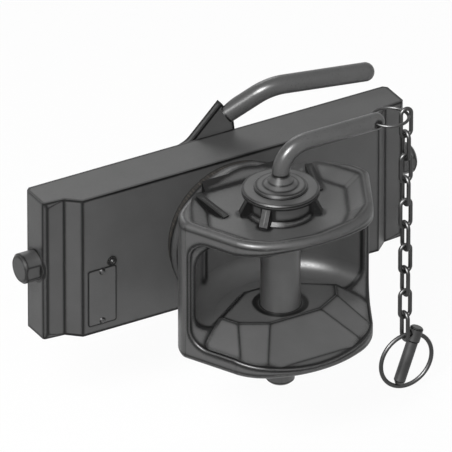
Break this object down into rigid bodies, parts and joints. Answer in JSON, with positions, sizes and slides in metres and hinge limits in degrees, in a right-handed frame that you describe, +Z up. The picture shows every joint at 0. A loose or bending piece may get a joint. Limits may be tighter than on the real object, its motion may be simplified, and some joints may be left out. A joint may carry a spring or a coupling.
{
  "type": "trailer coupler",
  "caption": "Slide-in trailer coupler: locking slide plate, swivelling funnel jaw, lift-out pin with handle, chained linch pin.",
  "frame": {"origin": "where the lock-bolt axis crosses the jaw's swivel axis, in the middle of the guide flanges", "axes": "+X right along the plate, +Y towards the tractor, +Z up; the mouth opens towards -Y"},
  "size_m": [0.3592, 0.2299, 0.259],
  "materials": {
    "plate_steel": "dark grey coated steel",
    "jaw_iron": "dark grey coated casting",
    "pin_steel": "dark turned steel",
    "bolt_steel": "dark turned steel",
    "lever_steel": "dark grey coated steel",
    "chain_steel": "dull bright wire",
    "nut_steel": "oiled steel",
    "spring_steel": "blued spring steel",
    "bush_bronze": "bearing bronze",
    "friction_lining": "dark lining",
    "plate_tag": "bare tag, coated over"
  },
  "bodies": {
    "slide_plate": {"slide_plate": "plate_steel", "nameplate": "plate_tag", "nameplate_rivets": "plate_tag", "grease_nipples": "bolt_steel", "swivel_bush": "bush_bronze", "friction_washer": "friction_lining", "thrust_washer": "nut_steel", "retaining_ring": "spring_steel", "guide_bush_left": "bush_bronze", "guide_bush_right": "bush_bronze", "bolt_spring_left": "spring_steel", "bolt_spring_right": "spring_steel"},
    "lever": {"cam_lever": "lever_steel", "lever_rod": "lever_steel"},
    "lock_bolt_left": {"lock_bolt_left": "bolt_steel", "drive_pin_left": "bolt_steel"},
    "lock_bolt_right": {"lock_bolt_right": "bolt_steel", "drive_pin_right": "bolt_steel"},
    "jaw": {"jaw_casting": "jaw_iron", "pin_bushes": "nut_steel", "disc_springs": "spring_steel", "castle_nut": "nut_steel", "split_pin": "chain_steel"},
    "pin_cover": {"cover_disc": "pin_steel"},
    "pin": {"coupling_pin": "pin_steel", "pin_handle": "pin_steel"},
    "key_ring": {"key_ring": "chain_steel"},
    "chain_link_01": {"chain_link_01": "chain_steel"},
    "chain_link_02": {"chain_link_02": "chain_steel"},
    "chain_link_03": {"chain_link_03": "chain_steel"},
    "chain_link_04": {"chain_link_04": "chain_steel"},
    "chain_link_05": {"chain_link_05": "chain_steel"},
    "chain_link_06": {"chain_link_06": "chain_steel"},
    "chain_link_07": {"chain_link_07": "chain_steel"},
    "chain_link_08": {"chain_link_08": "chain_steel"},
    "chain_link_09": {"chain_link_09": "chain_steel"},
    "chain_link_10": {"chain_link_10": "chain_steel"},
    "linch_ring": {"linch_ring": "chain_steel"},
    "linch_pin": {"linch_pin": "chain_steel"}
  },
  "joints": [
    {"name": "jaw_swivel", "type": "hinge", "parent": "slide_plate", "child": "jaw", "pos_m": [0, 0, 0], "axis": [0, 1, 0], "continuous": true},
    {"name": "lever_turn", "type": "hinge", "parent": "slide_plate", "child": "lever", "pos_m": [0, 0, 0], "axis": [0, -1, 0], "range_deg": [0, 40]},
    {"name": "bolt_slide_left", "type": "slide", "parent": "slide_plate", "child": "lock_bolt_left", "axis": [1, 0, 0], "range_m": [0, 0.017], "deforming": ["bolt_spring_left"]},
    {"name": "bolt_slide_right", "type": "slide", "parent": "slide_plate", "child": "lock_bolt_right", "axis": [-1, 0, 0], "range_m": [0, 0.017], "deforming": ["bolt_spring_right"]},
    {"name": "pin_turn", "type": "hinge", "parent": "jaw", "child": "pin_cover", "pos_m": [0, -0.1023, 0], "axis": [0, 0, -1], "range_deg": [-25, 180]},
    {"name": "pin_lift", "type": "slide", "parent": "pin_cover", "child": "pin", "axis": [0, 0, 1], "range_m": [0, 0.18]},
    {"name": "ring_swing", "type": "hinge", "parent": "pin", "child": "key_ring", "pos_m": [0.08535, -0.1023, 0.1093], "axis": [0, 1, 0], "range_deg": [-45, 45]},
    {"name": "link_01_swing", "type": "hinge", "parent": "key_ring", "child": "chain_link_01", "pos_m": [0.1145, -0.1023, 0.1093], "axis": [0, 1, 0], "range_deg": [-46, 46]},
    {"name": "link_02_swing", "type": "hinge", "parent": "chain_link_01", "child": "chain_link_02", "pos_m": [0.1145, -0.1023, 0.08815], "axis": [1, 0, 0], "range_deg": [-40, 15]},
    {"name": "link_03_swing", "type": "hinge", "parent": "chain_link_02", "child": "chain_link_03", "pos_m": [0.1145, -0.1023, 0.06745], "axis": [0, 1, 0], "range_deg": [-40, 9]},
    {"name": "link_04_swing", "type": "hinge", "parent": "chain_link_03", "child": "chain_link_04", "pos_m": [0.1145, -0.1023, 0.04675], "axis": [-1, 0, 0], "range_deg": [-20, 40]},
    {"name": "link_05_swing", "type": "hinge", "parent": "chain_link_04", "child": "chain_link_05", "pos_m": [0.1145, -0.1023, 0.02605], "axis": [0, -1, 0], "range_deg": [-12, 40]},
    {"name": "link_06_swing", "type": "hinge", "parent": "chain_link_05", "child": "chain_link_06", "pos_m": [0.1145, -0.1023, 0.00535], "axis": [1, 0, 0], "range_deg": [-40, 25]},
    {"name": "link_07_swing", "type": "hinge", "parent": "chain_link_06", "child": "chain_link_07", "pos_m": [0.1145, -0.1023, -0.01535], "axis": [0, 1, 0], "range_deg": [-40, 25]},
    {"name": "link_08_swing", "type": "hinge", "parent": "chain_link_07", "child": "chain_link_08", "pos_m": [0.1145, -0.1023, -0.03605], "axis": [-1, 0, 0], "range_deg": [-35, 40]},
    {"name": "link_09_swing", "type": "hinge", "parent": "chain_link_08", "child": "chain_link_09", "pos_m": [0.1145, -0.1023, -0.05675], "axis": [0, -1, 0], "range_deg": [-25, 40]},
    {"name": "link_10_swing", "type": "hinge", "parent": "chain_link_09", "child": "chain_link_10", "pos_m": [0.1145, -0.1023, -0.07745], "axis": [1, 0, 0], "range_deg": [-40, 40]},
    {"name": "linch_ring_swing", "type": "hinge", "parent": "chain_link_10", "child": "linch_ring", "pos_m": [0.1145, -0.1023, -0.09815], "axis": [0, 1, 0], "range_deg": [-8, 60]},
    {"name": "linch_pin_swing", "type": "hinge", "parent": "linch_ring", "child": "linch_pin", "pos_m": [0.12397, -0.1023, -0.09575], "axis": [0.9397, 0, -0.342], "range_deg": [-110, 110]}
  ],
  "couplings": [
    {"joint": "bolt_slide_left", "follows": "lever_turn", "m_per_rad": 0.02435},
    {"joint": "bolt_slide_right", "follows": "lever_turn", "m_per_rad": 0.02435},
    {"joint": "link_01_swing", "follows": "ring_swing", "ratio": -1}
  ]
}
